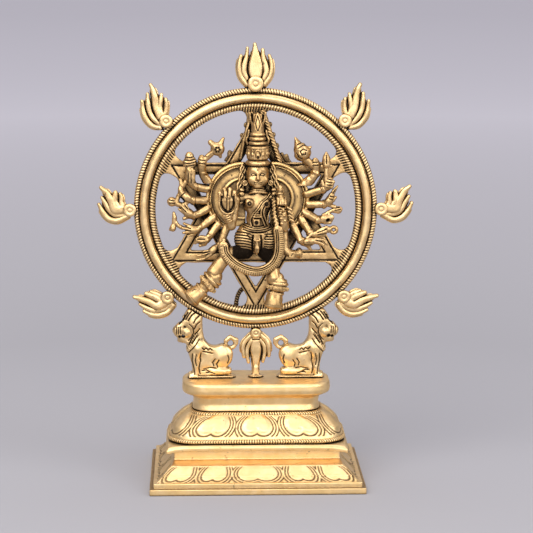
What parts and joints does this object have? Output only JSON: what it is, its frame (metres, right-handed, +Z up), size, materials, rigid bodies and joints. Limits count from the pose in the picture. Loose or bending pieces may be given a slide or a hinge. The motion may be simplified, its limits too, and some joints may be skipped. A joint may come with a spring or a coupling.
{
  "type": "brass wheel statue",
  "caption": "Brass statue: many-armed figure in a six-pointed star, inside an upright flame-edged wheel carried by lions on a lotus pedestal.",
  "frame": {"origin": "on the floor, at the centre of the statue's bounding box, under the wheel's centre", "axes": "+Z up; the figure and the front of the pedestal face -Y; +X is to the right of someone facing the statue"},
  "size_m": [0.172, 0.0886, 0.24],
  "materials": {
    "polished_brass": "hand-polished casting, bright on raised faces, dark in engraved lines",
    "antiqued_brass": "warm brass with a near-black patina left in the recesses"
  },
  "bodies": {
    "root": {"plinth": "polished_brass", "plinth_slab": "polished_brass", "lotus_tier": "polished_brass", "lower_bead_rail": "polished_brass", "upper_bead_rail": "polished_brass", "seat": "polished_brass", "lion_left": "polished_brass", "lion_right": "polished_brass", "wheel_band": "polished_brass", "outer_rope_edge": "polished_brass", "inner_rope_edge": "polished_brass", "flame_top": "polished_brass", "rivet_top": "polished_brass", "flame_upper_left": "polished_brass", "rivet_upper_left": "polished_brass", "flame_left": "polished_brass", "rivet_left": "polished_brass", "flame_lower_left": "polished_brass", "rivet_lower_left": "polished_brass", "flame_lower_right": "polished_brass", "rivet_lower_right": "polished_brass", "flame_right": "polished_brass", "rivet_right": "polished_brass", "flame_upper_right": "polished_brass", "rivet_upper_right": "polished_brass", "flame_foot": "polished_brass", "rivet_foot": "polished_brass", "torso": "antiqued_brass", "head": "antiqued_brass", "crown": "antiqued_brass", "skirt": "antiqued_brass", "sash": "antiqued_brass", "leg_left": "antiqued_brass", "leg_right": "antiqued_brass", "anklet_left": "antiqued_brass", "anklet_right": "antiqued_brass", "foot_left": "antiqued_brass", "foot_right": "antiqued_brass", "shoulder_fan_left": "antiqued_brass", "shoulder_fan_right": "antiqued_brass", "front_arm_left": "antiqued_brass", "front_arm_right": "antiqued_brass", "back_arch": "antiqued_brass", "back_strut": "antiqued_brass", "star_frame": "antiqued_brass", "rear_arm_left_1": "antiqued_brass", "rear_arm_left_2": "antiqued_brass", "rear_arm_left_3": "antiqued_brass", "rear_arm_left_4": "antiqued_brass", "rear_arm_left_5": "antiqued_brass", "rear_arm_left_6": "antiqued_brass", "rear_arm_left_7": "antiqued_brass", "rear_arm_right_1": "antiqued_brass", "rear_arm_right_2": "antiqued_brass", "rear_arm_right_3": "antiqued_brass", "rear_arm_right_4": "antiqued_brass", "rear_arm_right_5": "antiqued_brass", "rear_arm_right_6": "antiqued_brass", "rear_arm_right_7": "antiqued_brass"}
  },
  "joints": []
}
